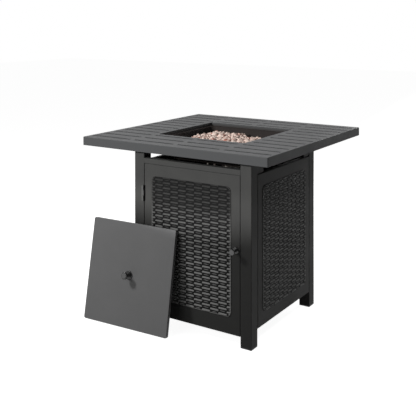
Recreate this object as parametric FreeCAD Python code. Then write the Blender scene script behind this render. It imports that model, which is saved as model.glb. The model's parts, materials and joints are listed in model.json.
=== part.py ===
import FreeCAD, Part
import math
import os

# Square gas fire pit table, in millimetres.
# The origin is on the floor under the middle of the table, +Z is up, the door faces -Y.

V = FreeCAD.Vector
X_AXIS = V(1, 0, 0)
Y_AXIS = V(0, 1, 0)
Z_AXIS = V(0, 0, 1)

# Tabletop
top_width = 711.0
table_height = 635.0
top_sheet = 1.5
apron_height = 28.5
apron_lip = 12.0
top_corner_radius = 4.0
top_edge_radius = 2.0
opening_width = 344.0
opening_corner_radius = 5.0
groove_width = 9.0
groove_depth = 3.0
groove_pitch = 57.0
groove_break = 18.0
groove_break_pitch = 174.0
groove_edge_margin = 10.0
groove_side_margin = 30.0
groove_opening_margin = 18.0

# Seat of the burner pan and of the lid in the opening
lid_recess = 12.0
collar_sheet = 1.5
collar_gap = 0.5
pan_sheet = 1.2
pan_depth = 75.0
pan_mouth_margin = 12.0
pan_taper = 12.0
pan_bottom_chamfer = 12.0
pan_corner_radius = 20.0
pan_rim_gap = 0.5
drain_radius = 2.5

# Base
base_width = 461.0
post_width = 40.0
post_wall = 1.5
post_corner_radius = 2.0
glide_height = 4.0
glide_plug_height = 16.0
glide_plug_gap = 0.2
glide_edge = 1.0
stiffener_height = 20.0
stiffener_sheet = 1.5
bracket_reach = 42.0
bracket_drop = 65.5
bracket_sheet = 2.0
bracket_inset = 2.0
slot_height = 51.0
rail_height = 17.0
rail_depth = 20.0
rail_sheet = 1.5

# Stamped side and rear panels
panel_bottom = 54.0
panel_drop = 16.5
panel_depth = 15.0
panel_sheet = 1.2
panel_edge_radius = 4.0
panel_margin_top = 42.0
panel_margin_bottom = 43.0
panel_screw_depth = 9.0
window_side_margin = 34.0
window_corner_radius = 16.0
weave_sheet = 1.0
weave_proud = 3.5
weave_flange = 8.0
weave_gap = 0.2
weave_edge_radius = 1.2

# Tank tray
tray_sheet = 1.5
tray_gap = 0.5
tray_front_gap = 4.0
tray_front_lip = 14.0
tank_hole_radius = 107.5
tank_collar_drop = 12.0

# Door
door_bottom = 35.0
door_rail_gap = 1.2
door_depth = 16.0
door_lip = 10.0
door_edge_radius = 1.5
door_hinge_gap = 2.3
door_latch_gap = 1.0
door_margin_top = 39.3
door_margin_bottom = 55.0
door_notch_width = 4.0
door_notch_depth = 5.0
door_notch_gap = 1.5

# Door hinges
leaf_sheet = 1.0
leaf_reach = 28.0
knuckle_radius = 3.5
knuckle_gap = 0.25
barrel_stand_off = 0.3
hinge_pin_radius = 1.75
hinge_pin_fit = 0.05
hinge_pin_head = 1.5
hinge_height = 50.0
hinge_end_distance = 100.8

# Door knob and magnet catch
door_knob_x = 175.0
door_knob_z = 305.0
door_knob_head_radius = 9.8
door_knob_head_height = 7.5
door_knob_reach = 28.0
door_knob_neck_radius = 3.5
door_knob_base_radius = 10.5
door_knob_base_height = 2.5
knob_screw_radius = 2.0
knob_screw_head_radius = 4.5
knob_screw_head_height = 2.4
knob_screw_bite = 8.0
knob_flare_height = 6.0
knob_flare_radius = 2.0
knob_shoulder_height = 4.0
knob_head_edge = 3.0
strike_sheet = 1.2
strike_height = 36.0
strike_width = 10.0
catch_gap = 0.3
catch_width = 14.0
catch_depth = 11.0
catch_height = 44.0

# Lid, leaning on the door
lid_gap = 2.0
lid_sheet = 1.2
lid_corner_radius = 6.0
lid_edge_radius = 1.5
lid_center_x = -214.2
lid_lean = 10.2
lid_yaw = 2.5
lid_touch_gap = 0.3
lid_floor_gap = 0.2
lid_knob_head_radius = 12.0
lid_knob_head_height = 8.5
lid_knob_reach = 30.0
lid_knob_neck_radius = 4.0
lid_knob_base_radius = 14.5
lid_knob_base_height = 3.0
lid_knob_base_edge = 1.3

# Burner under the stones
ring_radius = 85.0
ring_tube_radius = 8.0
ring_tube_wall = 1.0
ring_height_in_pan = 26.0
hub_radius = 20.0
hub_height = 18.0
spoke_radius = 6.0
port_radius = 1.2
port_count = 24
inlet_radius = 10.0
inlet_wall = 2.0
inlet_drop = 17.0
inlet_hole_gap = 0.5
nut_radius = 18.0
nut_height = 5.0
nut_washer_height = 1.0
shoulder_radius = 15.0
shoulder_height = 3.0
sensor_spacing = 28.0
sensor_ring_gap = 8.0
sensor_height = 40.0
electrode_radius = 3.5
electrode_tip_radius = 1.0
electrode_tip_height = 14.0
thermocouple_radius = 3.0
sensor_drop = 14.0
thermocouple_step = 0.8
thermocouple_tip_height = 7.0
sensor_plate_length = 52.0
sensor_plate_width = 18.0
sensor_plate_sheet = 1.5

# Stones in the pan
stone_gap = 0.6
bed_wall_gap = 8.0
bed_slope = 28.0
bed_height = 43.0
bed_corner_radius = 60.0
stone_length = 37.0
stone_width = 32.0
stone_height = 28.0
stone_variation = 2.5
stone_chamfer = 8.0
stone_turn = 67.0
stone_tilt = 17.0
stone_stray = 2.5
stone_lift = 2.0
stone_crown = 54.5
stone_shore = 39.0
stone_edge_gap = 21.5
stone_pitch = 38.0
stone_row_pitch = 35.5
stone_roundness = 4

# Controls behind the door
control_x = 105.0
igniter_x = 150.0
control_plate_left = 72.0
control_plate_right = 178.0
control_plate_margin = 36.0
control_plate_sheet = 1.5
control_plate_setback = 22.0
control_shelf_drop = 12.0
valve_width = 30.0
valve_depth = 34.0
valve_height = 28.0
valve_port_radius = 8.0
valve_port_height = 10.0
fitting_radius = 6.0
fitting_height = 14.0
fitting_nut_radius = 7.5
fitting_nut_height = 5.0
fitting_bore = 3.0
valve_edge_radius = 2.0
stem_radius = 4.0
stem_fit = 0.05
stem_socket_depth = 12.0
stem_hole_gap = 1.0
bezel_radius = 22.0
bezel_height = 2.0
bezel_bore = 6.0
control_knob_radius = 19.0
control_knob_depth = 15.0
control_knob_gap = 0.4
control_knob_taper = 2.0
control_knob_grip = 9.0
control_knob_grip_depth = 7.0
control_knob_grip_margin = 3.0
control_knob_edge_radius = 2.0
button_radius = 7.0
button_fit = 0.1
button_proud = 6.0
button_length = 16.0
button_travel = 4.0
button_edge_radius = 1.0
igniter_radius = 11.0
igniter_length = 32.0
igniter_nut_radius = 14.0
igniter_nut_height = 2.5
pipe_radius = 4.75
pipe_wall = 1.0
pipe_bend_radius = 14.0
pipe_rise = 4.0
pipe_drop = 24.0
mixer_radius = 11.0
mixer_wall = 2.0
mixer_length = 48.0
mixer_slot_length = 16.0
mixer_slot_width = 9.0
mixer_slot_margin = 10.0
mixer_nozzle_length = 4.0
mixer_socket_radius = 14.0
mixer_socket_drop = 15.0

# Fasteners
bolt_radius = 3.0
bolt_head_radius = 5.5
bolt_head_height = 4.0
bolt_bite = 6.0
screw_radius = 2.0
screw_head_radius = 4.2
screw_head_height = 2.2
screw_bite = 5.0
panel_screw_end_distance = 60.0

# Worked out from the sizes above
half_top = top_width / 2
half_base = base_width / 2
half_bay = half_base - post_width
half_opening = opening_width / 2
under_top = table_height - top_sheet
apron_bottom = table_height - apron_height
rib_bottom = table_height - groove_depth - top_sheet
stiffener_bottom = rib_bottom - stiffener_height
rim_top = table_height - lid_recess
rim_bottom = rim_top - pan_sheet
pan_bottom = rim_top - pan_depth
pan_floor = pan_bottom + pan_sheet
half_pan_mouth = half_opening - pan_mouth_margin
half_pan_floor = half_pan_mouth - pan_taper - pan_bottom_chamfer
half_bed = half_pan_floor - bed_wall_gap
stone_field = half_pan_floor - stone_edge_gap
half_window = half_bay - window_side_margin
rail_top = stiffener_bottom - slot_height
rail_bottom = rail_top - rail_height
panel_top = rail_top - panel_drop
door_top = rail_bottom - door_rail_gap
pipe_z = pan_bottom - pipe_drop
valve_outlet_z = pipe_z - pipe_bend_radius - pipe_rise
control_z = valve_outlet_z - valve_port_height - valve_height / 2
door_back = -half_base + door_depth
tray_floor = panel_bottom + panel_sheet + tray_sheet
ring_z = pan_floor + ring_height_in_pan
control_face = -half_base + rail_depth + control_plate_setback
control_front = control_face - control_plate_sheet
hinge_x = -half_bay + leaf_sheet - knuckle_radius
hinge_y = -half_base - barrel_stand_off - knuckle_radius
upper_hinge_z = door_top - hinge_end_distance
lower_hinge_z = door_bottom + hinge_end_distance
POST_CORNERS = (("front_left", -1, -1), ("front_right", 1, -1), ("rear_left", -1, 1), ("rear_right", 1, 1))


def box(x0, x1, y0, y1, z0, z1):
    return Part.makeBox(x1 - x0, y1 - y0, z1 - z0, V(x0, y0, z0))


def cylinder(radius, start, end):
    axis = end - start
    return Part.makeCylinder(radius, axis.Length, start, axis)


def rounded_outline(half_width, half_depth, radius):
    """Closed wire of a rounded rectangle round the origin in the XY plane."""
    w = half_width - radius
    d = half_depth - radius
    s = radius * math.sqrt(0.5)
    corners = ((w, d, 1, 1), (-w, d, -1, 1), (-w, -d, -1, -1), (w, -d, 1, -1))
    edges = []
    previous = V(half_width, -d, 0)
    for cx, cy, sx, sy in corners:
        if sx * sy > 0:
            start = V(cx + sx * radius, cy, 0)
            end = V(cx, cy + sy * radius, 0)
        else:
            start = V(cx, cy + sy * radius, 0)
            end = V(cx + sx * radius, cy, 0)
        edges.append(Part.makeLine(previous, start))
        edges.append(Part.Arc(start, V(cx + sx * s, cy + sy * s, 0), end).toShape())
        previous = end
    return Part.Wire(edges)


def rounded_prism(half_width, half_depth, radius, z0, z1):
    wire = rounded_outline(half_width, half_depth, radius)
    wire.translate(V(0, 0, z0))
    return Part.Face(wire).extrude(V(0, 0, z1 - z0))


def front_prism(half_width, z0, z1, radius, y0, y1):
    """Rounded rectangle seen from the front, from y0 back to y1."""
    solid = rounded_prism(half_width, (z1 - z0) / 2, radius, 0, y1 - y0)
    solid.rotate(V(0, 0, 0), X_AXIS, 90)
    solid.translate(V(0, y1, (z0 + z1) / 2))
    return solid


def round_edges(solid, radius, wanted):
    edges = [edge for edge in solid.Edges if wanted(edge)]
    return solid.makeFillet(radius, edges)


def turned(solid, degrees):
    copy = solid.copy()
    copy.rotate(V(0, 0, 0), Z_AXIS, degrees)
    return copy


def mirrored(solid, sx, sy):
    if sx < 0:
        solid = solid.mirror(V(0, 0, 0), X_AXIS)
    if sy < 0:
        solid = solid.mirror(V(0, 0, 0), Y_AXIS)
    return solid


def fastener(seat, direction, radius, head_radius, head_height, grip):
    """Headed fastener: the head stands on the seat, the shank runs along direction."""
    direction = V(direction).normalize()
    head = cylinder(head_radius, seat - direction * head_height, seat)
    shank = cylinder(radius, seat - direction * (head_height / 2), seat + direction * grip)
    return head.fuse(shank).removeSplitter()


def save(name, shape):
    shape.exportStep("parts/" + name + ".step")


# Tabletop

def groove_lines():
    """Rows of pressed grooves as (y, x0, x1), broken by short bridges and by the opening."""
    rows = []
    reach = half_top - groove_edge_margin
    clear = half_opening + groove_opening_margin
    count = int((half_top - groove_side_margin) / groove_pitch + 0.5)
    for k in range(count):
        y = (k + 0.5) * groove_pitch
        for side in (-1, 1):
            if y < clear:
                rows.append((side * y, -reach, -clear))
                rows.append((side * y, clear, reach))
                continue
            start = -reach
            for column in (-1, 0, 1):
                middle = column * groove_break_pitch
                rows.append((side * y, start, middle - groove_break / 2))
                start = middle + groove_break / 2
            rows.append((side * y, start, reach))
    return rows


def make_tabletop():
    shell = rounded_prism(half_top, half_top, top_corner_radius, apron_bottom, table_height)
    top_face_z = table_height - 1e-3
    shell = round_edges(shell, top_edge_radius, lambda e: e.BoundBox.ZMin > top_face_z)
    inner = half_top - top_sheet
    hollow = box(-inner, inner, -inner, inner, apron_bottom + top_sheet, under_top)
    mouth = half_top - apron_lip
    lip_hole = box(-mouth, mouth, -mouth, mouth, apron_bottom, apron_bottom + top_sheet)
    shell = shell.cut([hollow, lip_hole])
    wall = half_opening + top_sheet
    fold = rounded_prism(wall, wall, opening_corner_radius + top_sheet, rim_bottom, under_top)
    half_groove = groove_width / 2
    ribs = [fold]
    cuts = [rounded_prism(half_opening, half_opening, opening_corner_radius, rim_bottom, table_height)]
    for y, x0, x1 in groove_lines():
        rib_x0 = x0 - top_sheet
        rib_x1 = x1 + top_sheet
        rib_y0 = y - half_groove - top_sheet
        rib_y1 = y + half_groove + top_sheet
        ribs.append(box(rib_x0, rib_x1, rib_y0, rib_y1, rib_bottom, under_top))
        cuts.append(box(x0, x1, y - half_groove, y + half_groove, rib_bottom + top_sheet, table_height))
    return shell.fuse(ribs).cut(cuts).removeSplitter()


def make_stiffener(side):
    reach = half_top - top_sheet
    outer = box(half_bay, half_base, -reach, reach, stiffener_bottom, rib_bottom)
    hollow = box(half_bay + stiffener_sheet, half_base - stiffener_sheet, -reach, reach,
                 stiffener_bottom + stiffener_sheet, rib_bottom)
    channel = outer.cut(hollow)
    return mirrored(channel, side, 1).cut(frame_bolt_holes())


def make_collar():
    """Angle frame that carries the rim of the burner pan."""
    inside = half_opening + top_sheet
    outside = inside + collar_sheet
    ledge_bottom = rim_bottom - collar_sheet
    radius = opening_corner_radius + top_sheet
    frame = rounded_prism(outside, outside, radius + collar_sheet, ledge_bottom, under_top)
    above = rounded_prism(inside, inside, radius, rim_bottom, under_top)
    mouth = half_pan_mouth + collar_gap
    hole = rounded_prism(mouth, mouth, pan_corner_radius, ledge_bottom, rim_bottom)
    return frame.cut([above, hole])


# Burner

def pan_body(inset, z_bottom, z_top):
    """Tapered pan with a chamfered bottom, drawn in by inset."""
    levels = (
        (half_pan_mouth, z_top),
        (half_pan_floor + pan_bottom_chamfer, z_bottom + pan_bottom_chamfer),
        (half_pan_floor, z_bottom),
    )
    wires = []
    for half, z in levels:
        wire = rounded_outline(half - inset, half - inset, pan_corner_radius - inset)
        wire.translate(V(0, 0, z))
        wires.append(wire)
    return Part.makeLoft(wires, True, True)


def sensor_points():
    y = -(ring_radius + ring_tube_radius + sensor_ring_gap)
    return V(sensor_spacing / 2, y, 0), V(-sensor_spacing / 2, y, 0)


def make_pan():
    outer = pan_body(0.0, pan_bottom, rim_top)
    rim = half_opening - pan_rim_gap
    flange = rounded_prism(rim, rim, opening_corner_radius, rim_bottom, rim_top)
    inner = pan_body(pan_sheet, pan_floor, rim_top)
    pan = outer.fuse(flange).cut(inner)
    holes = [cylinder(inlet_radius + inlet_hole_gap, V(0, 0, pan_bottom), V(0, 0, pan_floor))]
    electrode, thermocouple = sensor_points()
    for point, radius in ((electrode, electrode_radius), (thermocouple, thermocouple_radius)):
        reach = radius + inlet_hole_gap
        holes.append(cylinder(reach, point + V(0, 0, pan_bottom), point + V(0, 0, pan_floor)))
    for sx, sy in ((1, 1), (-1, 1), (-1, -1), (1, -1)):
        drain = V(sx * ring_radius, sy * ring_radius, 0)
        holes.append(cylinder(drain_radius, drain + V(0, 0, pan_bottom), drain + V(0, 0, pan_floor)))
    return pan.cut(holes).removeSplitter()


def burner_outline(grow):
    """Ring, spokes, hub and inlet tube, grown by a clearance."""
    ring = Part.makeTorus(ring_radius, ring_tube_radius + grow, V(0, 0, ring_z), Z_AXIS)
    spoke = cylinder(spoke_radius + grow, V(-ring_radius, 0, ring_z), V(ring_radius, 0, ring_z))
    half_hub = hub_height / 2 + grow
    hub = cylinder(hub_radius + grow, V(0, 0, ring_z - half_hub), V(0, 0, ring_z + half_hub))
    foot = cylinder(inlet_radius + grow, V(0, 0, pan_bottom - inlet_drop), V(0, 0, ring_z))
    shoulder_top = pan_floor + shoulder_height + grow
    shoulder = cylinder(shoulder_radius + grow, V(0, 0, pan_floor), V(0, 0, shoulder_top))
    return ring.fuse([spoke, hub, foot, shoulder])


def make_burner():
    gas = Part.makeTorus(ring_radius, ring_tube_radius - ring_tube_wall, V(0, 0, ring_z), Z_AXIS)
    spoke = cylinder(spoke_radius - ring_tube_wall, V(-ring_radius, 0, ring_z), V(ring_radius, 0, ring_z))
    foot = cylinder(inlet_radius - inlet_wall, V(0, 0, pan_bottom - inlet_drop), V(0, 0, ring_z))
    ports = []
    for k in range(port_count):
        angle = 2 * math.pi * (k + 0.5) / port_count
        point = V(ring_radius * math.cos(angle), ring_radius * math.sin(angle), ring_z)
        ports.append(cylinder(port_radius, point, point + V(0, 0, ring_tube_radius)))
    return burner_outline(0.0).cut([gas, spoke, foot] + ports)


def make_burner_nut():
    low = pan_bottom - nut_height
    corners = [V(nut_radius, 0, low)]
    for k in range(1, 7):
        angle = math.radians(60 * k)
        corners.append(V(nut_radius * math.cos(angle), nut_radius * math.sin(angle), low))
    body = Part.Face(Part.makePolygon(corners)).extrude(V(0, 0, nut_height))
    washer = cylinder(nut_radius, V(0, 0, pan_bottom - nut_washer_height), V(0, 0, pan_bottom))
    bore = cylinder(inlet_radius, V(0, 0, low), V(0, 0, pan_bottom))
    return body.fuse(washer).cut(bore).removeSplitter()


def sensor_shape(point, radius, tip_radius, tip_height):
    low = point + V(0, 0, pan_bottom - sensor_drop)
    high = point + V(0, 0, pan_floor + sensor_height)
    tip = cylinder(tip_radius, high, high + V(0, 0, tip_height))
    return cylinder(radius, low, high).fuse(tip)


def make_electrode():
    return sensor_shape(sensor_points()[0], electrode_radius, electrode_tip_radius, electrode_tip_height)


def make_thermocouple():
    tip_radius = thermocouple_radius - thermocouple_step
    return sensor_shape(sensor_points()[1], thermocouple_radius, tip_radius, thermocouple_tip_height)


def make_sensor_plate():
    electrode, thermocouple = sensor_points()
    y = electrode.y
    plate = box(-sensor_plate_length / 2, sensor_plate_length / 2, y - sensor_plate_width / 2,
                y + sensor_plate_width / 2, pan_floor, pan_floor + sensor_plate_sheet)
    holes = []
    for point, radius in ((electrode, electrode_radius), (thermocouple, thermocouple_radius)):
        base = point + V(0, 0, pan_floor)
        holes.append(cylinder(radius, base, base + V(0, 0, sensor_plate_sheet)))
    return plate.cut(holes)


def stone(center, index):
    """Blunt block sized and turned by its index, so that no two lie alike."""
    half_length = stone_length / 2 + stone_variation * math.sin(index * 1.7)
    half_width = stone_width / 2 + stone_variation * math.cos(index * 2.3)
    half_height = stone_height / 2 + stone_variation * math.sin(index * 3.1)
    block = box(-half_length, half_length, -half_width, half_width, -half_height, half_height)
    block = block.makeChamfer(stone_chamfer, block.Edges)
    block.rotate(V(0, 0, 0), Z_AXIS, stone_turn * index)
    block.rotate(V(0, 0, 0), X_AXIS, stone_tilt * math.sin(index * 0.9))
    block.rotate(V(0, 0, 0), Y_AXIS, stone_tilt * math.cos(index * 1.3))
    block.translate(center)
    return block


def make_stones():
    """Heap of lava stones as one bed, hollow round the burner and its probes."""
    wires = []
    for half, z in ((half_bed, pan_floor), (half_bed - bed_slope, pan_floor + bed_height)):
        wire = rounded_outline(half, half, bed_corner_radius)
        wire.translate(V(0, 0, z))
        wires.append(wire)
    heap = Part.makeLoft(wires, True, True)
    stones = []
    half_rows = math.floor(stone_field / stone_row_pitch)
    half_count = math.ceil(stone_field / stone_pitch)
    for row in range(-half_rows, half_rows + 1):
        for place in range(-half_count, half_count + 1):
            index = len(stones)
            x = (place + row % 2 / 2) * stone_pitch + stone_stray * math.sin(index * 1.1)
            y = row * stone_row_pitch + stone_stray * math.cos(index * 1.9)
            share = (abs(x) ** stone_roundness + abs(y) ** stone_roundness) ** (1 / stone_roundness) / stone_field
            if share > 1:
                continue
            height = stone_crown - (stone_crown - stone_shore) * share ** stone_roundness
            stones.append(stone(V(x, y, pan_floor + height + stone_lift * math.sin(index * 2.9)), index))
    heap = heap.fuse(stones)
    electrode, thermocouple = sensor_points()
    slots = [burner_outline(stone_gap)]
    for point, radius in ((electrode, electrode_radius), (thermocouple, thermocouple_radius)):
        base = point + V(0, 0, pan_floor)
        top = base + V(0, 0, sensor_height + electrode_tip_height + stone_gap)
        slots.append(cylinder(radius + stone_gap, base, top))
    half_length = sensor_plate_length / 2 + stone_gap
    half_width = sensor_plate_width / 2 + stone_gap
    slots.append(box(-half_length, half_length, electrode.y - half_width, electrode.y + half_width,
                     pan_floor, pan_floor + sensor_plate_sheet + stone_gap))
    below = box(-half_opening, half_opening, -half_opening, half_opening, pan_floor - bed_height, pan_floor)
    heap = heap.cut(slots + [below])
    return max(heap.Solids, key=lambda solid: solid.Volume)


# Base frame

def bracket_bolt_seats():
    """Seats of the two bolts of the front right corner bracket, with their directions."""
    middle = half_base - post_width / 2
    reach = half_bay - bracket_reach / 2
    flange_bottom = stiffener_bottom - bracket_sheet
    up = (V(middle, reach, flange_bottom), Z_AXIS)
    side = (V(middle, half_bay - bracket_sheet, stiffener_bottom - bracket_drop / 2), Y_AXIS)
    return up, side


def frame_bolts_at(sx, sy):
    bolts = []
    for seat, direction in bracket_bolt_seats():
        grip = bracket_sheet + post_wall + bolt_bite
        bolt = fastener(seat, direction, bolt_radius, bolt_head_radius, bolt_head_height, grip)
        bolts.append(mirrored(bolt, sx, sy))
    return bolts


def frame_bolt_holes():
    holes = []
    for name, sx, sy in POST_CORNERS:
        for seat, direction in bracket_bolt_seats():
            hole = cylinder(bolt_radius, seat, seat + direction * (bracket_sheet + post_wall + bolt_bite))
            holes.append(mirrored(hole, sx, sy))
    return holes


def make_frame_bolts():
    bolts = []
    for name, sx, sy in POST_CORNERS:
        bolts += frame_bolts_at(sx, sy)
    return Part.makeCompound(bolts)


def make_bracket(sx, sy):
    """Corner bracket between a post and the channel above it."""
    x0 = half_bay + bracket_inset
    x1 = half_base - bracket_inset
    y0 = half_bay - bracket_reach
    z0 = stiffener_bottom - bracket_drop
    flange = box(x0, x1, y0, half_bay, stiffener_bottom - bracket_sheet, stiffener_bottom)
    leg = box(x0, x1, half_bay - bracket_sheet, half_bay, z0, stiffener_bottom)
    web = box(x1 - bracket_sheet, x1, y0, half_bay, z0, stiffener_bottom)
    bracket = flange.fuse([leg, web]).removeSplitter()
    return mirrored(bracket, sx, sy).cut(frame_bolt_holes())


def make_brackets():
    return Part.makeCompound([make_bracket(sx, sy) for name, sx, sy in POST_CORNERS])


def panel_screw_seats():
    """Seats of the four screws of a panel drawn at the front, with their directions."""
    y = -half_base + panel_screw_depth
    heights = (panel_bottom + panel_screw_end_distance, panel_top - panel_screw_end_distance)
    seats = []
    for side in (-1, 1):
        for z in heights:
            seats.append((V(side * (half_bay - panel_sheet), y, z), V(side, 0, 0)))
    return seats


PANEL_TURNS = (("right", 90), ("rear", 180), ("left", 270))


def panel_screw_holes():
    grip = panel_sheet + post_wall + screw_bite
    return [cylinder(screw_radius, seat, seat + direction * grip) for seat, direction in panel_screw_seats()]


def make_panel_screws():
    grip = panel_sheet + post_wall + screw_bite
    screws = []
    for name, degrees in PANEL_TURNS:
        for seat, direction in panel_screw_seats():
            screw = fastener(seat, direction, screw_radius, screw_head_radius, screw_head_height, grip)
            screws.append(turned(screw, degrees))
    return Part.makeCompound(screws)


def make_post(sx, sy):
    half = post_width / 2
    outer = rounded_prism(half, half, post_corner_radius, glide_height, stiffener_bottom)
    inner = rounded_prism(half - post_wall, half - post_wall, post_corner_radius - post_wall,
                          glide_height, stiffener_bottom)
    post = outer.cut(inner)
    center = half_base - half
    post.translate(V(sx * center, sy * center, 0))
    holes = list(frame_bolt_holes())
    for name, degrees in PANEL_TURNS:
        for hole in panel_screw_holes():
            holes.append(turned(hole, degrees))
    return post.cut(holes)


def make_glides():
    """Foot of each post: a flange on the floor and a plug inside the tube."""
    half = post_width / 2
    foot = rounded_prism(half, half, post_corner_radius, 0, glide_height)
    foot = round_edges(foot, glide_edge, lambda e: e.BoundBox.ZMax < 1e-3)
    plug_half = half - post_wall - glide_plug_gap
    plug = rounded_prism(plug_half, plug_half, post_corner_radius - post_wall,
                         glide_height, glide_height + glide_plug_height)
    glide = foot.fuse(plug)
    center = half_base - half
    glides = []
    for name, sx, sy in POST_CORNERS:
        copy = glide.copy()
        copy.translate(V(sx * center, sy * center, 0))
        glides.append(copy)
    return Part.makeCompound(glides)


def make_front_rail():
    back = -half_base + rail_depth
    rail = box(-half_bay, half_bay, -half_base, back, rail_bottom, rail_top)
    front_inside = -half_base + rail_sheet
    hollow = box(-half_bay, half_bay, front_inside, back, rail_bottom + rail_sheet, rail_top - rail_sheet)
    tab = box(control_plate_left, control_plate_right, back - rail_sheet, back, rail_bottom, rail_top)
    return rail.cut(hollow).fuse(tab).cut(control_screw_holes()).removeSplitter()


# Panels and door

def folded_sheet(left, right, z0, z1, depth, radius, lip):
    """Front sheet with its four edges folded back, and a lip turned in behind."""
    outer = box(left, right, -half_base, -half_base + depth, z0, z1)
    front = -half_base + 1e-3
    outer = round_edges(outer, radius, lambda e: e.BoundBox.YMax < front)
    t = panel_sheet
    inner = box(left + t, right - t, -half_base + t, -half_base + depth - (t if lip else 0), z0 + t, z1 - t)
    inner_front = -half_base + t + 1e-3
    inner = round_edges(inner, max(radius - t, 0.3), lambda e: e.BoundBox.YMax < inner_front)
    cuts = [inner]
    if lip:
        back = -half_base + depth
        cuts.append(box(left + lip, right - lip, back - t, back, z0 + lip, z1 - lip))
    return outer.cut(cuts)


def window_cut(z0, z1):
    return front_prism(half_window, z0, z1, window_corner_radius, -half_base, -half_base + panel_sheet)


def weave_insert(z0, z1):
    """Stamped insert of a window: a raised field with a flange behind the sheet."""
    face = -half_base - weave_proud
    seat = -half_base + panel_sheet
    back = seat + weave_sheet
    radius = window_corner_radius - weave_gap
    field = front_prism(half_window - weave_gap, z0 + weave_gap, z1 - weave_gap, radius, face, back)
    field = round_edges(field, weave_edge_radius, lambda e: e.BoundBox.YMax < face + 1e-3)
    flange = front_prism(half_window + weave_flange, z0 - weave_flange, z1 + weave_flange,
                         window_corner_radius + weave_flange, seat, back)
    inset = weave_gap + weave_sheet
    hollow = front_prism(half_window - inset, z0 + inset, z1 - inset, window_corner_radius - inset,
                         face + weave_sheet, back)
    return field.fuse(flange).cut(hollow).removeSplitter()


def make_panel(degrees):
    sheet = folded_sheet(-half_bay, half_bay, panel_bottom, panel_top, panel_depth, panel_edge_radius, 0)
    z0 = panel_bottom + panel_margin_bottom
    z1 = panel_top - panel_margin_top
    sheet = sheet.cut([window_cut(z0, z1)] + panel_screw_holes())
    return turned(sheet, degrees)


def make_panel_weave(degrees):
    return turned(weave_insert(panel_bottom + panel_margin_bottom, panel_top - panel_margin_top), degrees)


def make_tray():
    """Bottom tray on the panels' folded edges, with a collared hole for the tank's foot ring."""
    reach = half_base - panel_edge_radius - tray_gap
    front = door_back + tray_front_gap
    z0 = panel_bottom + panel_sheet
    plate = box(-reach, reach, front, reach, z0, tray_floor)
    corner = half_bay - panel_sheet - tray_gap
    notches = []
    for name, sx, sy in POST_CORNERS:
        x0, x1 = sorted((sx * corner, sx * half_base))
        y0, y1 = sorted((sy * corner, sy * half_base))
        notches.append(box(x0, x1, y0, y1, z0, tray_floor))
    plate = plate.cut(notches)
    lip = box(-corner, corner, front, front + tray_sheet, tray_floor - tray_front_lip, tray_floor)
    collar_bottom = V(0, 0, tray_floor - tank_collar_drop)
    collar_top = V(0, 0, tray_floor)
    wall = cylinder(tank_hole_radius + tray_sheet, collar_bottom, collar_top)
    hole = cylinder(tank_hole_radius, collar_bottom, collar_top)
    return plate.fuse([lip, wall]).cut(hole).removeSplitter()


def door_edges():
    return -half_bay + door_hinge_gap, half_bay - door_latch_gap


def make_door():
    left, right = door_edges()
    sheet = folded_sheet(left, right, door_bottom, door_top, door_depth, door_edge_radius, door_lip)
    cuts = [window_cut(door_bottom + door_margin_bottom, door_top - door_margin_top)]
    half_notch = hinge_height / 2 + door_notch_gap
    for z in (upper_hinge_z, lower_hinge_z):
        cuts.append(box(left, left + door_notch_width, -half_base, -half_base + door_notch_depth,
                        z - half_notch, z + half_notch))
    seat = V(door_knob_x, -half_base, door_knob_z)
    cuts.append(cylinder(knob_screw_radius, seat, seat + V(0, panel_sheet, 0)))
    return sheet.cut(cuts)


def make_door_weave():
    return weave_insert(door_bottom + door_margin_bottom, door_top - door_margin_top)


# Hinges

def knuckle(z0, z1, bore):
    outer = cylinder(knuckle_radius, V(hinge_x, hinge_y, z0), V(hinge_x, hinge_y, z1))
    return outer.cut(cylinder(bore, V(hinge_x, hinge_y, z0), V(hinge_x, hinge_y, z1)))


def knuckle_levels(z):
    """Heights of the three knuckles: post, door, post."""
    third = hinge_height / 3
    low = z - hinge_height / 2
    return (
        (low, low + third - knuckle_gap),
        (low + third, low + 2 * third),
        (low + 2 * third + knuckle_gap, low + hinge_height),
    )


def make_post_leaf(z):
    x0 = -half_bay
    x1 = x0 + leaf_sheet
    clear = -half_base + knuckle_radius
    leaf = box(x0, x1, clear, -half_base + leaf_reach, z - hinge_height / 2, z + hinge_height / 2)
    lower, middle, upper = knuckle_levels(z)
    solids = []
    for z0, z1 in (lower, upper):
        solids.append(box(x0, x1, hinge_y, clear, z0, z1).cut(
            cylinder(hinge_pin_radius, V(hinge_x, hinge_y, z0), V(hinge_x, hinge_y, z1))))
        solids.append(knuckle(z0, z1, hinge_pin_radius))
    return leaf.fuse(solids).removeSplitter()


def make_door_leaf(z):
    left = door_edges()[0]
    x0 = left - leaf_sheet
    clear = -half_base + door_notch_depth
    end = -half_base + door_depth - leaf_sheet
    leaf = box(x0, left, clear, end, z - hinge_height / 2, z + hinge_height / 2)
    z0, z1 = knuckle_levels(z)[1]
    front = box(x0, left, hinge_y, clear, z0, z1)
    web = box(hinge_x, left, hinge_y - leaf_sheet, hinge_y + leaf_sheet, z0, z1)
    bore = cylinder(hinge_pin_radius + hinge_pin_fit, V(hinge_x, hinge_y, z0), V(hinge_x, hinge_y, z1))
    barrel = cylinder(knuckle_radius, V(hinge_x, hinge_y, z0), V(hinge_x, hinge_y, z1))
    return leaf.fuse([front, web, barrel]).cut(bore).removeSplitter()


def make_hinge_pin(z):
    low = z - hinge_height / 2
    high = z + hinge_height / 2
    pin = cylinder(hinge_pin_radius, V(hinge_x, hinge_y, low), V(hinge_x, hinge_y, high))
    head_radius = knuckle_radius - 0.5
    top = cylinder(head_radius, V(hinge_x, hinge_y, high), V(hinge_x, hinge_y, high + hinge_pin_head))
    foot = cylinder(head_radius, V(hinge_x, hinge_y, low - hinge_pin_head), V(hinge_x, hinge_y, low))
    return pin.fuse([top, foot]).removeSplitter()


# Knobs

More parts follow.
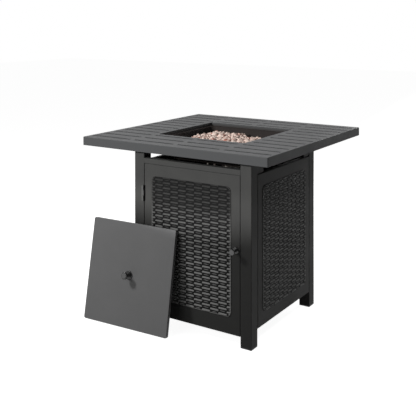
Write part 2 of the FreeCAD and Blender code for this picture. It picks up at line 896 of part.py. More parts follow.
def round_knob(neck_radius, reach, head_radius, head_height):
    """Waisted knob on z = 0: flared foot, slim neck and a thick round head with soft edges."""
    head_bottom = reach - head_height
    head = cylinder(head_radius, V(0, 0, head_bottom), V(0, 0, reach))
    head = round_edges(head, knob_head_edge, lambda e: e.BoundBox.ZLength < 1e-3)
    shoulder_bottom = V(0, 0, head_bottom - knob_shoulder_height)
    shoulder_height = knob_shoulder_height + head_height / 2
    shoulder = Part.makeCone(neck_radius, head_radius - knob_head_edge, shoulder_height, shoulder_bottom)
    neck = cylinder(neck_radius, V(0, 0, 0), V(0, 0, head_bottom))
    foot = Part.makeCone(neck_radius + knob_flare_radius, neck_radius, knob_flare_height)
    return head.fuse([shoulder, neck, foot]).removeSplitter()


def make_door_knob():
    plate = cylinder(door_knob_base_radius, V(0, 0, 0), V(0, 0, door_knob_base_height))
    knob = round_knob(door_knob_neck_radius, door_knob_reach - door_knob_base_height, door_knob_head_radius,
                      door_knob_head_height)
    knob.translate(V(0, 0, door_knob_base_height))
    knob = plate.fuse(knob).cut(cylinder(knob_screw_radius, V(0, 0, 0), V(0, 0, knob_screw_bite)))
    knob.rotate(V(0, 0, 0), X_AXIS, 90)
    knob.translate(V(door_knob_x, -half_base, door_knob_z))
    return knob.removeSplitter()


def make_door_knob_screw():
    seat = V(door_knob_x, -half_base + panel_sheet, door_knob_z)
    return fastener(seat, V(0, -1, 0), knob_screw_radius, knob_screw_head_radius, knob_screw_head_height,
                    panel_sheet + knob_screw_bite)


def make_strike():
    right = door_edges()[1] - panel_sheet
    return box(right - strike_width, right, door_back, door_back + strike_sheet,
               door_knob_z - strike_height / 2, door_knob_z + strike_height / 2)


def make_catch():
    front = door_back + strike_sheet + catch_gap
    body = box(half_bay - catch_width, half_bay, front, front + catch_depth,
               door_knob_z - catch_height / 2, door_knob_z + catch_height / 2)
    return body


# Lid, drawn flat with its face on z = 0 and then leaned against the door

def lid_half():
    return half_opening - lid_gap


def lid_placement():
    lean = math.radians(lid_lean)
    yaw = math.radians(lid_yaw)
    half = lid_half()
    turn = FreeCAD.Rotation(Z_AXIS, lid_yaw).multiply(FreeCAD.Rotation(X_AXIS, 90 - lid_lean))
    z = half * math.cos(lean) + lid_recess * math.sin(lean) + lid_floor_gap
    back = half * math.sin(lean) * math.cos(yaw) + lid_recess * math.cos(lean) * math.cos(yaw)
    back += half * math.sin(abs(yaw))
    y = -half_base - weave_proud - lid_touch_gap - back
    return FreeCAD.Placement(V(lid_center_x, y, z), turn)


def leaned(solid):
    copy = solid.copy()
    copy.Placement = lid_placement().multiply(copy.Placement)
    return copy


def make_lid_plate():
    half = lid_half()
    outer = rounded_prism(half, half, lid_corner_radius, -lid_recess, 0)
    outer = round_edges(outer, lid_edge_radius, lambda e: e.BoundBox.ZMin > -1e-3)
    inset = half - lid_sheet
    inner = rounded_prism(inset, inset, lid_corner_radius - lid_sheet, -lid_recess, -lid_sheet)
    hole = cylinder(knob_screw_radius, V(0, 0, -lid_sheet), V(0, 0, 0))
    return leaned(outer.cut([inner, hole]))


def make_lid_knob_base():
    disc = cylinder(lid_knob_base_radius, V(0, 0, 0), V(0, 0, lid_knob_base_height))
    top = lid_knob_base_height - 1e-3
    disc = round_edges(disc, lid_knob_base_edge, lambda e: e.BoundBox.ZMin > top)
    hole = cylinder(knob_screw_radius, V(0, 0, 0), V(0, 0, lid_knob_base_height))
    return leaned(disc.cut(hole))


def make_lid_knob():
    base = V(0, 0, lid_knob_base_height)
    knob = round_knob(lid_knob_neck_radius, lid_knob_reach - lid_knob_base_height, lid_knob_head_radius,
                      lid_knob_head_height)
    knob.translate(base)
    bore = cylinder(knob_screw_radius, base, base + V(0, 0, knob_screw_bite))
    return leaned(knob.cut(bore))


def make_lid_screw():
    grip = lid_sheet + lid_knob_base_height + knob_screw_bite
    return leaned(fastener(V(0, 0, -lid_sheet), Z_AXIS, knob_screw_radius, knob_screw_head_radius,
                           knob_screw_head_height, grip))


# Controls behind the door

def control_screw_seats():
    y = -half_base + rail_depth + control_plate_sheet
    z = (rail_top + rail_bottom) / 2
    third = (control_plate_right - control_plate_left) / 3
    return [V(control_plate_left + third * k, y, z) for k in (1, 2)]


def control_screw_holes():
    grip = control_plate_sheet + rail_sheet + screw_bite
    return [cylinder(screw_radius, seat, seat - Y_AXIS * grip) for seat in control_screw_seats()]


def make_control_screws():
    grip = control_plate_sheet + rail_sheet + screw_bite
    screws = []
    for seat in control_screw_seats():
        screws.append(fastener(seat, V(0, -1, 0), screw_radius, screw_head_radius, screw_head_height, grip))
    return Part.makeCompound(screws)


def make_control_bracket():
    """Tab on the rail, shelf below it and the plate that carries valve and igniter."""
    x0 = control_plate_left
    x1 = control_plate_right
    rail_back = -half_base + rail_depth
    t = control_plate_sheet
    shelf_top = rail_bottom - control_shelf_drop
    tab = box(x0, x1, rail_back, rail_back + t, shelf_top - t, rail_top)
    shelf = box(x0, x1, rail_back, control_face, shelf_top - t, shelf_top)
    plate = box(x0, x1, control_front, control_face, control_z - control_plate_margin, shelf_top)
    holes = [cylinder(stem_radius + stem_hole_gap, V(control_x, control_front, control_z),
                      V(control_x, control_face, control_z)),
             cylinder(button_radius + button_fit, V(igniter_x, control_front, control_z),
                      V(igniter_x, control_face, control_z))]
    return tab.fuse([shelf, plate]).cut(holes + control_screw_holes()).removeSplitter()


def valve_middle_y():
    return control_face + valve_depth / 2


def make_valve():
    half = valve_width / 2
    body = box(control_x - half, control_x + half, control_face, control_face + valve_depth,
               control_z - valve_height / 2, control_z + valve_height / 2)
    body = round_edges(body, valve_edge_radius, lambda e: e.BoundBox.YMin > control_face + 1e-3)
    y = valve_middle_y()
    top = control_z + valve_height / 2
    low = control_z - valve_height / 2
    ports = cylinder(valve_port_radius, V(control_x, y, low - valve_port_height),
                     V(control_x, y, top + valve_port_height))
    outlet = cylinder(pipe_radius - pipe_wall, V(control_x, y, top), V(control_x, y, top + valve_port_height))
    inlet = cylinder(fitting_bore, V(control_x, y, low - valve_port_height), V(control_x, y, top))
    socket = cylinder(stem_radius + stem_fit, V(control_x, control_face, control_z),
                      V(control_x, control_face + stem_socket_depth, control_z))
    return body.fuse(ports).cut(outlet).cut(inlet).cut(socket)


def make_inlet_fitting():
    y = valve_middle_y()
    top = control_z - valve_height / 2 - valve_port_height
    low = top - fitting_height
    nut = cylinder(fitting_nut_radius, V(control_x, y, top - fitting_nut_height), V(control_x, y, top))
    stub = cylinder(fitting_radius, V(control_x, y, low), V(control_x, y, top))
    bore = cylinder(fitting_bore, V(control_x, y, low), V(control_x, y, top))
    return stub.fuse(nut).cut(bore).removeSplitter()


def pipe_path():
    """Centre line of the gas pipe: up from the valve, back, then across to the mixer."""
    r = pipe_bend_radius
    s = r * math.sqrt(0.5)
    y = valve_middle_y()
    z = pipe_z
    start = V(control_x, y, valve_outlet_z)
    end = V(mixer_radius + mixer_length, 0, z)
    edges = [Part.makeLine(start, V(control_x, y, z - r))]
    edges.append(Part.Arc(V(control_x, y, z - r), V(control_x, y + r - s, z - r + s),
                          V(control_x, y + r, z)).toShape())
    edges.append(Part.makeLine(V(control_x, y + r, z), V(control_x, -r, z)))
    edges.append(Part.Arc(V(control_x, -r, z), V(control_x - r + s, -r + s, z),
                          V(control_x - r, 0, z)).toShape())
    edges.append(Part.makeLine(V(control_x - r, 0, z), end))
    return Part.Wire(edges), start


def make_pipe():
    path, start = pipe_path()
    tubes = []
    for radius in (pipe_radius, pipe_radius - pipe_wall):
        section = Part.Wire(Part.makeCircle(radius, start, Z_AXIS))
        tubes.append(path.makePipeShell([section], True, False))
    return tubes[0].cut(tubes[1])


def make_mixer():
    """Air mixer: a slotted tube from the pipe to the socket of the burner's inlet."""
    z = pipe_z
    end = mixer_radius + mixer_length
    socket_top = pan_bottom - nut_height
    socket_low = z - mixer_socket_drop
    tube = cylinder(mixer_radius, V(0, 0, z), V(end, 0, z))
    socket = cylinder(mixer_socket_radius, V(0, 0, socket_low), V(0, 0, socket_top))
    body = tube.fuse(socket)
    bore = mixer_radius - mixer_wall
    slot_x0 = end - mixer_slot_margin - mixer_slot_length
    half = mixer_slot_width / 2
    cuts = [
        cylinder(bore, V(0, 0, z), V(end - mixer_nozzle_length, 0, z)),
        cylinder(inlet_radius - inlet_wall, V(0, 0, z), V(0, 0, socket_top)),
        cylinder(inlet_radius, V(0, 0, pan_bottom - inlet_drop), V(0, 0, socket_top)),
        box(slot_x0, slot_x0 + mixer_slot_length, -mixer_radius, mixer_radius, z - half, z + half),
        cylinder(port_radius, V(end - mixer_nozzle_length, 0, z), V(end, 0, z)),
    ]
    return body.cut(cuts).removeSplitter()


def make_bezel():
    front = control_front - bezel_height
    disc = cylinder(bezel_radius, V(control_x, front, control_z), V(control_x, control_front, control_z))
    hole = cylinder(bezel_bore, V(control_x, front, control_z), V(control_x, control_front, control_z))
    return disc.cut(hole)


def knob_back():
    return control_front - bezel_height - control_knob_gap


def make_stem():
    start = V(control_x, knob_back() - control_knob_depth / 2, control_z)
    end = V(control_x, control_face + stem_socket_depth - stem_hole_gap, control_z)
    return cylinder(stem_radius, start, end)


def make_control_knob():
    back = knob_back()
    skirt_front = back - (control_knob_depth - control_knob_grip_depth)
    front = back - control_knob_depth
    skirt = Part.makeCone(control_knob_radius, control_knob_radius - control_knob_taper, back - skirt_front,
                          V(control_x, back, control_z), V(0, -1, 0))
    reach = control_knob_radius - control_knob_grip_margin
    grip = box(control_x - control_knob_grip / 2, control_x + control_knob_grip / 2, front, back,
               control_z - reach, control_z + reach)
    grip = round_edges(grip, control_knob_edge_radius, lambda e: e.BoundBox.YMax < front + 1e-3)
    socket = cylinder(stem_radius, V(control_x, back - control_knob_depth / 2, control_z),
                      V(control_x, back, control_z))
    return skirt.fuse(grip).cut(socket).removeSplitter()


def make_igniter_module():
    body = cylinder(igniter_radius, V(igniter_x, control_face, control_z),
                    V(igniter_x, control_face + igniter_length, control_z))
    nut_front = control_front - igniter_nut_height
    seat = V(igniter_x, control_front, control_z)
    nut = cylinder(igniter_nut_radius, V(igniter_x, nut_front, control_z), seat)
    bore = cylinder(button_radius + button_fit, V(igniter_x, nut_front, control_z),
                    V(igniter_x, nut_front + button_length + button_travel, control_z))
    return Part.makeCompound([body.cut(bore), nut.cut(bore)])


def make_button():
    front = control_front - igniter_nut_height - button_proud
    back = front + button_length
    button = cylinder(button_radius, V(igniter_x, front, control_z), V(igniter_x, back, control_z))
    return round_edges(button, button_edge_radius, lambda e: e.BoundBox.YMax < front + 1e-3)


def main():
    os.makedirs("parts", exist_ok=True)
    save("tabletop", make_tabletop())
    save("top_channel_left", make_stiffener(-1))
    save("top_channel_right", make_stiffener(1))
    save("pan_collar", make_collar())
    save("burner_pan", make_pan())
    save("burner_ring", make_burner())
    save("burner_nut", make_burner_nut())
    save("igniter_electrode", make_electrode())
    save("thermocouple", make_thermocouple())
    save("sensor_plate", make_sensor_plate())
    save("lava_stones", make_stones())
    for name, sx, sy in POST_CORNERS:
        save("post_" + name, make_post(sx, sy))
    save("corner_brackets", make_brackets())
    save("frame_bolts", make_frame_bolts())
    save("foot_glides", make_glides())
    save("front_rail", make_front_rail())
    for name, degrees in PANEL_TURNS:
        save("panel_" + name, make_panel(degrees))
        save("weave_" + name, make_panel_weave(degrees))
    save("panel_screws", make_panel_screws())
    save("tank_tray", make_tray())
    save("door_sheet", make_door())
    save("door_weave", make_door_weave())
    for name, z in (("upper", upper_hinge_z), ("lower", lower_hinge_z)):
        save("hinge_post_leaf_" + name, make_post_leaf(z))
        save("hinge_door_leaf_" + name, make_door_leaf(z))
        save("hinge_pin_" + name, make_hinge_pin(z))
    save("door_knob", make_door_knob())
    save("door_knob_screw", make_door_knob_screw())
    save("door_strike", make_strike())
    save("magnet_catch", make_catch())
    save("lid_plate", make_lid_plate())
    save("lid_knob_base", make_lid_knob_base())
    save("lid_knob", make_lid_knob())
    save("lid_knob_screw", make_lid_screw())
    save("control_bracket", make_control_bracket())
    save("control_screws", make_control_screws())
    save("gas_valve", make_valve())
    save("gas_inlet", make_inlet_fitting())
    save("gas_pipe", make_pipe())
    save("air_mixer", make_mixer())
    save("control_bezel", make_bezel())
    save("valve_stem", make_stem())
    save("control_knob", make_control_knob())
    save("igniter_module", make_igniter_module())
    save("igniter_button", make_button())


main()
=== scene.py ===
import json
import math
import random

import bmesh
import bpy
from mathutils import Matrix, Vector, noise


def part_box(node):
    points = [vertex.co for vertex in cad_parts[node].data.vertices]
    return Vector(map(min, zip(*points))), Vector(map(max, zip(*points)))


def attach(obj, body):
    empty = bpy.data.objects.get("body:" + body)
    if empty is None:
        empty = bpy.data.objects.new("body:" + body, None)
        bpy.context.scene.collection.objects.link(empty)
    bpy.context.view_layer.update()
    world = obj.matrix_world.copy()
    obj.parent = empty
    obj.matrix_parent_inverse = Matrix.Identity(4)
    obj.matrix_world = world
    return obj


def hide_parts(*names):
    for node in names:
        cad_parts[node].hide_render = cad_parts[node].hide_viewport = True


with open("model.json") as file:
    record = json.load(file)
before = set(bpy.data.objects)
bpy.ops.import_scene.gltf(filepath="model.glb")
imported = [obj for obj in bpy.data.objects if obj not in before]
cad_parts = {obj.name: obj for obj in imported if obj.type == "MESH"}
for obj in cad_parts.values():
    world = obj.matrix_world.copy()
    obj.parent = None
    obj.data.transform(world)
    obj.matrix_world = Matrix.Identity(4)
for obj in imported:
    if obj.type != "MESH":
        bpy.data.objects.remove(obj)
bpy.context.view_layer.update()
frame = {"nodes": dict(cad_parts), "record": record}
nodes = frame["nodes"]
MM = 0.001

# Photograph: level camera with a lowered frame
CAMERA_PLACE = (1.3760, -2.2565, 1.0380)
CAMERA_TURN = 32.81
FOCAL_PIXELS = 746.3
HORIZON_PIXEL = 17.9
IMAGE_PIXELS = 416
SENSOR_WIDTH = 36.0

# Slatted top, with sizes from its middle
TOP_FIELD = 346 * MM
TOP_MOUTH = 176 * MM
TOP_LEVEL = 635 * MM
MASK_EDGE = 1 * MM
GROOVE_PITCH = 57 * MM
GROOVE_HALF = 4.5 * MM
GROOVE_DEPTHS = (1.2 * MM, 0.2 * MM)
GROOVE_CLEAR = 190 * MM
BRIDGE_PITCH = 174 * MM
BRIDGE_HALF = 9 * MM
# Painted shade in a soft band along each groove
SHADE_BAND_REACH = 14 * MM
SHADE_BAND_FADE = 4 * MM
SHADE_BAND_SHARE = 0.9
MOUTH_WALL_DEPTHS = (10 * MM, 2 * MM)
MOUTH_WALL_SHARE = 0.8

# Framework and knobs
FRONT_PLANE = -230.5 * MM
KNOB_PARTING = 10 * MM
KNOB_FACES = (-300 * MM, -250 * MM)
KNOB_AXES_X = (-213 * MM, 175 * MM)
KNOB_AXES_Z = (176 * MM, 305 * MM)
KNOB_FACE_RADII = (8 * MM, 9.5 * MM)

# Woven inserts
STRAND_HEIGHT = 8.675 * MM
STRAND_ROWS = 8
COLUMN_WIDTH = 31.4 * MM
COLUMN_STEPS = 10
WEAVE_SPAN = (235 * MM, 425 * MM)
DOOR_ZONE = (-220 * MM, -200 * MM)
# Share of painted shade on the weave of the other panels, low and high
SIDE_SHADE = (0.52, 0.62)
HOLLOW_HEIGHTS = (0.2, 0.62)
HOLLOW_DULLNESS = 0.35
# Metallic share in the hollows, so that their painted shade reflects nothing
HOLLOW_SHADE_METALLIC = 0.8
BORDER_PULL = 1.9
WEAVE_FLANGE = 7.5 * MM
WEAVE_MARGIN = 7.9 * MM
WEAVE_SHEET = 0.9 * MM
WINDOW_RADIUS = 15.8 * MM
OVER_HEIGHT = 3.3 * MM
SLAT_CREST = 0.3
STRAND_END_DIP = 0.35
STRAND_END_SHARPNESS = 6
UNDER_HEIGHT = 1.5 * MM
UNDER_SHARPNESS = 3
RIM_SHARE = 0.6
RELIEF_DEPTH = 3.5 * MM

# Stones and the chips between them; jitters and chip depths are in millimetres
STONE_SEED = 11
STONE_SIZE = 32 * MM
STONE_SIZES = (0.75, 1.15)
STONE_PITCH_SHARE = 0.84
STONE_ROW_SHARE = 0.9
STONE_JITTER = 4
STONE_LAYERS = 3
STONE_LAYER_DROP = 19 * MM
STONE_DEPTH_JITTER = 5
STONE_FINENESS = 3
STONE_TONES = (-0.16, 0.3)
STONE_STRETCH = ((0.85, 1.2), (0.8, 1.05), (0.7, 0.95))
STONE_SPIN = 6.28
STONE_TILT = 0.6
STONE_FLATS = 7
FLAT_DISTANCE = 0.37
FLAT_WEAR = 0.85
LUMP_REACH = 9
LUMPS = ((3.0, 0.09), (9.0, 0.035))
LUMP_GAIN = 1.6
CHIP_SIZE = 13 * MM
CHIP_SIZES = (0.7, 1.3)
CHIP_DEPTHS = (9, 16)
CHIP_BATCHES = 10
CHIPS_PER_BATCH = 42
CHIP_FINENESS = 2
FLOOR_SHARE = 0.36
HEAP_SQUARENESS = 8
REAR_RIGHT_DROP = 9 * MM
DROP_RUN_RIGHT = 25 * MM
DROP_RUN_REAR = 80 * MM

# Grain of the powder coat, and slopes of the faces where a tone starts and is full
PEEL_SCALE = 260.0
PEEL_SHARE = 0.6
SPECKLE_SCALE = 900.0
SPECKLE_SHARE = 0.4
MOTTLE_SCALE = 9.0
DUST_SCALE = 45.0
DUST_SLOPES = (0.6, 1.0)
DUST_SHARE = 0.35
APRON_SLOPES = (0.5, 0.9)
KNOB_FACE_SLOPES = (-0.96, -0.90)

# Coats: dark tone, light tone and film of dust
TOP_COAT = ((0.063, 0.064, 0.066), (0.073, 0.074, 0.076), (0.10, 0.10, 0.10))
FRAME_COAT = ((0.043, 0.043, 0.042), (0.051, 0.051, 0.049), (0.07, 0.07, 0.07))
KNOB_COAT = ((0.013, 0.013, 0.013), (0.019, 0.019, 0.019), (0.03, 0.03, 0.03))
# Painted sheen: the weave's coat is pale, standing in for the light on its strands
WEAVE_SHEEN_COAT = ((0.262, 0.262, 0.257), (0.292, 0.291, 0.286), (0.30, 0.30, 0.30))
LID_COAT = ((0.222, 0.222, 0.223), (0.240, 0.240, 0.241), (0.28, 0.28, 0.28))
BOWL_COAT = ((0.012, 0.0105, 0.010), (0.022, 0.018, 0.0165), (0.05, 0.035, 0.03))

# Other tones of the coats
# Painted shade on the upright faces of the top
APRON_SHADE_TONE = (0.045, 0.046, 0.047)
# Painted shade in the band along each groove
SHADE_BAND_TONE = (0.034, 0.035, 0.036)
# Painted shade inside the grooves
GROOVE_SHADE_TONE = (0.015, 0.015, 0.016)
MOUTH_WALL_TONE = (0.02, 0.018, 0.017)
# Painted highlight on the hinge barrels
BARREL_HIGHLIGHT_TONE = (0.10, 0.10, 0.098)
# Painted reflection on the faces of the knobs' heads
KNOB_FACE_REFLECTION_TONE = (0.15, 0.15, 0.15)
# Painted shade on the weave
WEAVE_SHADE_TONE = (0.027, 0.027, 0.026)
# Painted shade in the weave's hollows
WEAVE_HOLLOW_SHADE_TONE = (0.012, 0.012, 0.012)

# Tones of the stones
STONE_PINK = (0.475, 0.33, 0.27)
STONE_CREAM = (0.61, 0.53, 0.48)
STONE_RUST = (0.24, 0.07, 0.045)
# Painted shade in the stones' pits
STONE_PIT = (0.10, 0.045, 0.035)

# Grain of the stones
PATCH_SCALE = 90.0
RUST_SCALE = 60.0
RUST_EDGE = (0.66, 0.84)
PIT_SCALE = 130.0
PIT_TONE_EDGE = (0.16, 0.36)
PIT_TONE_SHARE = 0.85
PIT_WALL = (0.12, 0.42)
RUBBLE_SCALE = 300.0

# Stage
FLOOR_SIZE = 12.0
FLOOR_GLOW = 0.93
FLOOR_SEEN = (0.8, 0.8, 0.8)
FLOOR_UNSEEN = (0.08, 0.08, 0.08)
AMBIENT = 0.064
BEAM_BLEND = 0.04


# Shader helpers

def new_material(name):
    mat = bpy.data.materials.new(name)
    mat.use_nodes = True
    tree = mat.node_tree
    tree.nodes.clear()
    out = tree.nodes.new("ShaderNodeOutputMaterial")
    shader = tree.nodes.new("ShaderNodeBsdfPrincipled")
    tree.links.new(shader.outputs["BSDF"], out.inputs["Surface"])
    return mat, tree, shader


def object_coordinates(tree):
    return tree.nodes.new("ShaderNodeTexCoord").outputs["Object"]


def face_normal(tree):
    return tree.nodes.new("ShaderNodeNewGeometry").outputs["Normal"]


def split_xyz(tree, vector):
    node = tree.nodes.new("ShaderNodeSeparateXYZ")
    tree.links.new(vector, node.inputs["Vector"])
    return node.outputs


def attribute(tree, name):
    node = tree.nodes.new("ShaderNodeAttribute")
    node.attribute_name = name
    return node.outputs["Fac"]


def noise_value(tree, vector, scale, detail, roughness=0.5):
    node = tree.nodes.new("ShaderNodeTexNoise")
    node.inputs["Scale"].default_value = scale
    node.inputs["Detail"].default_value = detail
    node.inputs["Roughness"].default_value = roughness
    tree.links.new(vector, node.inputs["Vector"])
    return node.outputs["Fac"]


def ramp_range(tree, value, low, high, to_low=0.0, to_high=1.0):
    node = tree.nodes.new("ShaderNodeMapRange")
    node.inputs["From Min"].default_value = low
    node.inputs["From Max"].default_value = high
    node.inputs["To Min"].default_value = to_low
    node.inputs["To Max"].default_value = to_high
    tree.links.new(value, node.inputs["Value"])
    return node.outputs["Result"]


def give(tree, value, socket):
    """Links another node's output to a socket, or sets the socket to a number or a colour."""
    if isinstance(value, bpy.types.NodeSocket):
        tree.links.new(value, socket)
    elif isinstance(value, tuple):
        socket.default_value = (*value, 1.0)
    else:
        socket.default_value = value


def mix_color(tree, factor, a, b):
    node = tree.nodes.new("ShaderNodeMix")
    node.data_type = "RGBA"
    give(tree, factor, node.inputs["Factor"])
    give(tree, a, node.inputs["A"])
    give(tree, b, node.inputs["B"])
    return node.outputs["Result"]


def math_node(tree, operation, *values):
    node = tree.nodes.new("ShaderNodeMath")
    node.operation = operation
    for value, socket in zip(values, node.inputs):
        give(tree, value, socket)
    return node.outputs[0]


def product(tree, a, b):
    return math_node(tree, "MULTIPLY", a, b)


def bump(tree, shader, height, strength, distance):
    node = tree.nodes.new("ShaderNodeBump")
    node.inputs["Strength"].default_value = strength
    node.inputs["Distance"].default_value = distance
    tree.links.new(height, node.inputs["Height"])
    tree.links.new(node.outputs["Normal"], shader.inputs["Normal"])


def lay_over(tree, shader, mask, tone):
    """Covers the shader's colour with another tone where the mask is one."""
    coat = shader.inputs["Base Color"].links[0].from_socket
    tree.links.new(mix_color(tree, mask, coat, tone), shader.inputs["Base Color"])


def coat_grain_group():
    """Orange peel and fine speckle of powder coat, with a slow mottle and a film of dust on level faces."""
    group = bpy.data.node_groups.new("coat_grain", "ShaderNodeTree")
    group.interface.new_socket("Vector", in_out="INPUT", socket_type="NodeSocketVector")
    for name in ("Height", "Mottle", "Dust"):
        group.interface.new_socket(name, in_out="OUTPUT", socket_type="NodeSocketFloat")
    vector = group.nodes.new("NodeGroupInput").outputs["Vector"]
    put = group.nodes.new("NodeGroupOutput")
    peel = product(group, noise_value(group, vector, PEEL_SCALE, 1.0), PEEL_SHARE)
    speckle = product(group, noise_value(group, vector, SPECKLE_SCALE, 2.0), SPECKLE_SHARE)
    group.links.new(math_node(group, "ADD", peel, speckle), put.inputs["Height"])
    slow = noise_value(group, vector, MOTTLE_SCALE, 4.0, 0.6)
    group.links.new(ramp_range(group, slow, 0.3, 0.7), put.inputs["Mottle"])
    level = ramp_range(group, split_xyz(group, face_normal(group))["Z"], *DUST_SLOPES)
    film = ramp_range(group, noise_value(group, vector, DUST_SCALE, 6.0, 0.7), 0.42, 0.75)
    group.links.new(product(group, level, film), put.inputs["Dust"])
    return group


COAT_GRAIN = coat_grain_group()


def powder_coat(name, dark, light, dust, roughness, specular, relief=0.00012):
    """Textured powder coat: two close tones, a film of dust and an orange-peel relief."""
    mat, tree, shader = new_material(name)
    grain = tree.nodes.new("ShaderNodeGroup")
    grain.node_tree = COAT_GRAIN
    tree.links.new(object_coordinates(tree), grain.inputs["Vector"])
    mottle = grain.outputs["Mottle"]
    tree.links.new(mix_color(tree, mottle, dark, light), shader.inputs["Base Color"])
    lay_over(tree, shader, product(tree, grain.outputs["Dust"], DUST_SHARE), dust)
    rough = ramp_range(tree, mottle, 0.0, 1.0, roughness - 0.05, roughness + 0.06)
    tree.links.new(rough, shader.inputs["Roughness"])
    shader.inputs["Specular IOR Level"].default_value = specular
    bump(tree, shader, grain.outputs["Height"], 0.5, relief)
    return mat, tree, shader


def grooved_top_paint():
    """Coat of the slatted top, with painted shade on its upright faces and painted shade in and beside the
    pressed grooves.
    """
    mat, tree, shader = powder_coat("top_paint", *TOP_COAT, 0.5, 0.1)
    place = split_xyz(tree, object_coordinates(tree))
    across = math_node(tree, "ABSOLUTE", place["X"])
    along = math_node(tree, "ABSOLUTE", place["Y"])
    reach = math_node(tree, "MAXIMUM", across, along)
    # Painted shade: the upright faces, such as the apron, take a darker tone than the level top.
    level = ramp_range(tree, split_xyz(tree, face_normal(tree))["Z"], *APRON_SLOPES)
    lay_over(tree, shader, math_node(tree, "SUBTRACT", 1.0, level), APRON_SHADE_TONE)

    # Painted shade: a soft dark band along each groove, wider than the groove, broken at the bridges.
    inside = ramp_range(tree, reach, TOP_FIELD, TOP_FIELD + MASK_EDGE, 1.0, 0.0)
    ridge = math_node(tree, "PINGPONG", along, GROOVE_PITCH / 2)
    from_groove = math_node(tree, "SUBTRACT", GROOVE_PITCH / 2, ridge)
    band = ramp_range(tree, from_groove, GROOVE_HALF, SHADE_BAND_REACH, 1.0, 0.0)
    from_bridge = math_node(tree, "PINGPONG", across, BRIDGE_PITCH / 2)
    bridge = ramp_range(tree, from_bridge, BRIDGE_HALF - 2 * MM, BRIDGE_HALF + SHADE_BAND_FADE, 1.0, 0.0)
    far_row = ramp_range(tree, along, GROOVE_CLEAR - MASK_EDGE, GROOVE_CLEAR + MASK_EDGE)
    unbridged = math_node(tree, "SUBTRACT", 1.0, product(tree, bridge, far_row))
    beyond_clear = ramp_range(tree, reach, GROOVE_CLEAR - SHADE_BAND_FADE, GROOVE_CLEAR + SHADE_BAND_FADE)
    shade_band = product(tree, product(tree, band, unbridged), product(tree, inside, beyond_clear))
    lay_over(tree, shader, product(tree, shade_band, SHADE_BAND_SHARE), SHADE_BAND_TONE)

    # Painted shade inside the pressed grooves.
    floor, brim = (TOP_LEVEL - depth for depth in GROOVE_DEPTHS)
    hollow_shade = ramp_range(tree, place["Z"], floor, brim, 1.0, 0.0)
    beyond_mouth = ramp_range(tree, reach, TOP_MOUTH, TOP_MOUTH + MASK_EDGE)
    lay_over(tree, shader, product(tree, product(tree, inside, beyond_mouth), hollow_shade), GROOVE_SHADE_TONE)

    # The walls inside the mouth get darker from 2 mm below the top down to 10 mm.
    floor, brim = (TOP_LEVEL - depth for depth in MOUTH_WALL_DEPTHS)
    darkening = ramp_range(tree, place["Z"], floor, brim, MOUTH_WALL_SHARE, 0.0)
    in_mouth = ramp_range(tree, reach, TOP_MOUTH, TOP_MOUTH + MASK_EDGE, 1.0, 0.0)
    lay_over(tree, shader, product(tree, in_mouth, darkening), MOUTH_WALL_TONE)
    return mat


def framework_paint():
    """Coat of the framework, with a painted highlight: paler on the hinge barrels that stand proud of the
    front.
    """
    mat, tree, shader = powder_coat("frame_paint", *FRAME_COAT, 0.5, 0.05)
    depth = split_xyz(tree, object_coordinates(tree))["Y"]
    # Painted highlight: what stands proud of the front, the hinge barrels, takes a paler tone.
    barrel_highlight = ramp_range(tree, depth, FRONT_PLANE - 2 * MM, FRONT_PLANE - 1 * MM, 1.0, 0.0)
    lay_over(tree, shader, barrel_highlight, BARREL_HIGHLIGHT_TONE)
    return mat


def knob_paint():
    """Glossy black coat, with a painted reflection: pale on the faces of the two knobs' heads."""
    mat, tree, shader = powder_coat("knob_metal", *KNOB_COAT, 0.2, 0.45, 0.00002)
    place = split_xyz(tree, object_coordinates(tree))

    def of_knob(on_lid, on_door):
        """A measure that differs between the lid's knob, on the left, and the door's."""
        return ramp_range(tree, place["X"], -KNOB_PARTING, KNOB_PARTING, on_lid, on_door)

    beyond = math_node(tree, "SUBTRACT", of_knob(*KNOB_FACES), place["Y"])
    in_head = ramp_range(tree, beyond, 0.0, MASK_EDGE)
    facing = ramp_range(tree, split_xyz(tree, face_normal(tree))["Y"], *KNOB_FACE_SLOPES, 1.0, 0.0)
    from_axis_x = math_node(tree, "SUBTRACT", place["X"], of_knob(*KNOB_AXES_X))
    from_axis_z = math_node(tree, "SUBTRACT", place["Z"], of_knob(*KNOB_AXES_Z))
    squares = math_node(tree, "ADD", product(tree, from_axis_x, from_axis_x),
                        product(tree, from_axis_z, from_axis_z))
    flat = ramp_range(tree, math_node(tree, "SQRT", squares), *KNOB_FACE_RADII, 1.0, 0.0)
    # Painted reflection: the flat face of each head takes a pale tone.
    lay_over(tree, shader, product(tree, product(tree, in_head, facing), flat), KNOB_FACE_REFLECTION_TONE)
    return mat


